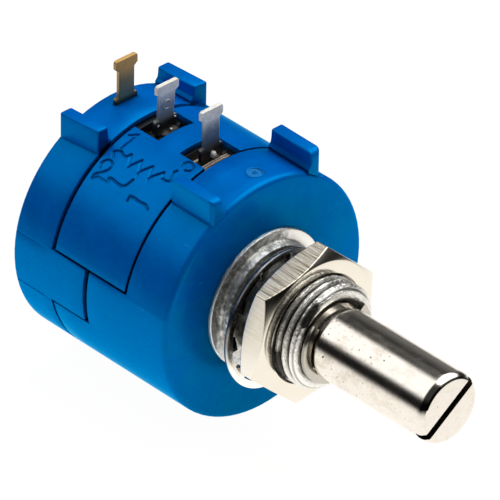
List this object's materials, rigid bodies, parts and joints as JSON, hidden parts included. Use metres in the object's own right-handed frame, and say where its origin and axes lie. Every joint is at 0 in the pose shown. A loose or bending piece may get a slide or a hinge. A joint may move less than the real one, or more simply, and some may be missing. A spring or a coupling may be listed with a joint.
{
  "type": "multiturn potentiometer",
  "caption": "Panel potentiometer with a round blue casing, threaded bushing with nut and lock washer, slotted metal shaft and flat solder terminals.",
  "frame": {"origin": "on the shaft axis, in the bushing's face that lies against the panel", "axes": "-Y along the shaft and away from the casing, +Z towards the terminals, +X to the right when looking at the shaft's tip"},
  "size_m": [0.0222, 0.0402, 0.0263],
  "materials": {
    "casing_blue": "satin moulded",
    "nickel": "nickel plated",
    "steel": "ground",
    "tinned": "tinned",
    "brass": "bare",
    "contact": "plated",
    "resistance_wire": "wound",
    "rotor_plastic": "moulded",
    "carriage_plastic": "moulded",
    "washer_plastic": "moulded"
  },
  "bodies": {
    "casing": {"front_lid": "casing_blue", "rear_lid": "casing_blue", "housing": "casing_blue", "bushing": "nickel", "lock_washer": "nickel", "terminal_1": "tinned", "terminal_2": "brass", "terminal_3": "tinned", "end_welds": "tinned", "resistance_element": "resistance_wire", "front_thrust_washer": "washer_plastic", "rear_thrust_washer": "washer_plastic", "brush": "contact"},
    "spindle": {"shaft": "steel", "retaining_ring": "steel", "rotor": "rotor_plastic", "slip_ring": "contact", "collector_strip": "contact"},
    "carriage": {"wiper_carriage": "carriage_plastic", "wiper_contact": "contact", "collector_contact": "contact"},
    "nut": {"mounting_nut": "nickel"}
  },
  "joints": [
    {"name": "shaft_turn", "type": "hinge", "parent": "casing", "child": "spindle", "pos_m": [0, 0, 0], "axis": [0, 1, 0], "range_deg": [-1800, 1800]},
    {"name": "carriage_slide", "type": "slide", "parent": "spindle", "child": "carriage", "axis": [0, 1, 0], "range_m": [-0.00282, 0.00282]},
    {"name": "nut_turn", "type": "hinge", "parent": "casing", "child": "nut", "pos_m": [0, -0.00384, 0], "axis": [0, 1, 0], "range_deg": [-1980, 540]}
  ],
  "couplings": [
    {"joint": "carriage_slide", "follows": "shaft_turn", "m_per_rad": -0.000089684}
  ]
}
